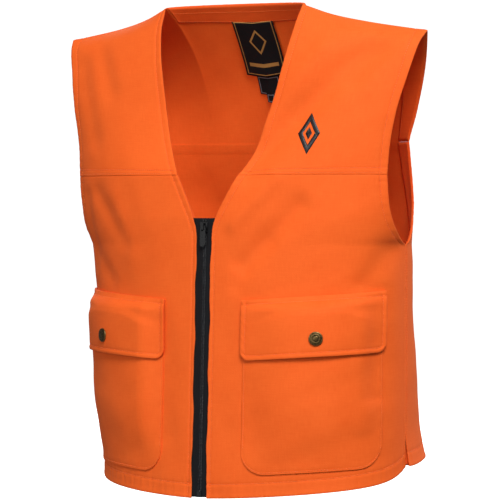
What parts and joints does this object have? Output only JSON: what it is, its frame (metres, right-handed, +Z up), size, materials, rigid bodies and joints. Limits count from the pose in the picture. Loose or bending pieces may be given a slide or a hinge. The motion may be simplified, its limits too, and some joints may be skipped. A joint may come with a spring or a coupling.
{
  "type": "sleeveless zip vest",
  "caption": "Sleeveless V-neck field vest in blaze orange twill with shoulder yokes, a separating front zip and snap-flap bellows pockets on both fronts.",
  "frame": {"origin": "midway between the two high points of the shoulders, where the vest hangs on its wearer or on a hanger", "axes": "+Z up along the vest's height, -Y the way the wearer faces, +X to the wearer's left"},
  "size_m": [0.522, 0.2854, 0.6349],
  "materials": {
    "orange_twill": "woven blaze orange twill, matt",
    "orange_facing": "the same twill seen on its turned inside",
    "label_weave": "black damask woven label, plain border",
    "embroidery": "black satin stitch",
    "snap_brass": "antiqued brass, domed",
    "zip_tape": "black woven polyester tape",
    "zip_coil": "black moulded teeth",
    "zip_metal": "black lacquered zinc die casting"
  },
  "bodies": {
    "shell": {"armhole_facing_back_left": "orange_facing", "armhole_facing_back_right": "orange_facing", "armhole_facing_shoulder_left": "orange_facing", "armhole_facing_shoulder_right": "orange_facing", "armhole_facing_yoke_left": "orange_facing", "armhole_facing_yoke_right": "orange_facing", "back_hem_band": "orange_facing", "back_panel": "orange_twill", "back_yoke": "orange_twill", "care_label": "label_weave", "chest_emblem": "embroidery", "front_yoke_left": "orange_twill", "front_yoke_right": "orange_twill", "main_label": "label_weave", "neck_facing": "orange_facing", "size_tab": "label_weave", "v_neck_facing_left": "orange_facing", "v_neck_facing_right": "orange_facing"},
    "left_front": {"armhole_facing_front_left": "orange_facing", "front_facing_left": "orange_facing", "front_hem_band_left": "orange_facing", "front_panel_left": "orange_twill", "pocket_left": "orange_twill", "snap_eyelet_left": "snap_brass", "snap_stud_left": "snap_brass", "zip_chain_left": "zip_coil", "zip_retainer_box": "zip_metal", "zip_tape_left": "zip_tape", "zip_top_stop_left": "zip_metal"},
    "right_front": {"armhole_facing_front_right": "orange_facing", "front_facing_right": "orange_facing", "front_hem_band_right": "orange_facing", "front_panel_right": "orange_twill", "pocket_right": "orange_twill", "snap_eyelet_right": "snap_brass", "snap_stud_right": "snap_brass", "zip_chain_right": "zip_coil", "zip_insertion_pin": "zip_metal", "zip_tape_right": "zip_tape", "zip_top_stop_right": "zip_metal"},
    "left_flap": {"flap_left": "orange_twill", "flap_lining_left": "orange_facing", "snap_cap_left": "snap_brass", "snap_socket_left": "snap_brass"},
    "right_flap": {"flap_lining_right": "orange_facing", "flap_right": "orange_twill", "snap_cap_right": "snap_brass", "snap_socket_right": "snap_brass"},
    "slider": {"zip_slider": "zip_metal"},
    "pull": {"zip_pull": "zip_metal"}
  },
  "joints": [
    {"name": "left_front_open", "type": "hinge", "parent": "shell", "child": "left_front", "pos_m": [0.226, 0.011, -0.63], "axis": [0, 0, 1], "range_deg": [0, 30]},
    {"name": "right_front_open", "type": "hinge", "parent": "shell", "child": "right_front", "pos_m": [-0.204, 0.011, -0.63], "axis": [0.0682, 0, -0.9977], "range_deg": [0, 30]},
    {"name": "left_flap_lift", "type": "hinge", "parent": "left_front", "child": "left_flap", "pos_m": [0.15199, -0.09284, -0.37174], "axis": [-0.8893, -0.4523, -0.0676], "range_deg": [0, 140]},
    {"name": "right_flap_lift", "type": "hinge", "parent": "right_front", "child": "right_flap", "pos_m": [-0.14996, -0.08322, -0.37184], "axis": [-0.8552, 0.5139, 0.0674], "range_deg": [0, 140]},
    {"name": "zip_slide", "type": "slide", "parent": "left_front", "child": "slider", "axis": [0, -0.0421, -0.9991], "range_m": [0, 0.329]},
    {"name": "pull_swing", "type": "hinge", "parent": "slider", "child": "pull", "pos_m": [0, -0.11395, -0.28473], "axis": [-1, 0, 0], "range_deg": [0, 150]}
  ]
}
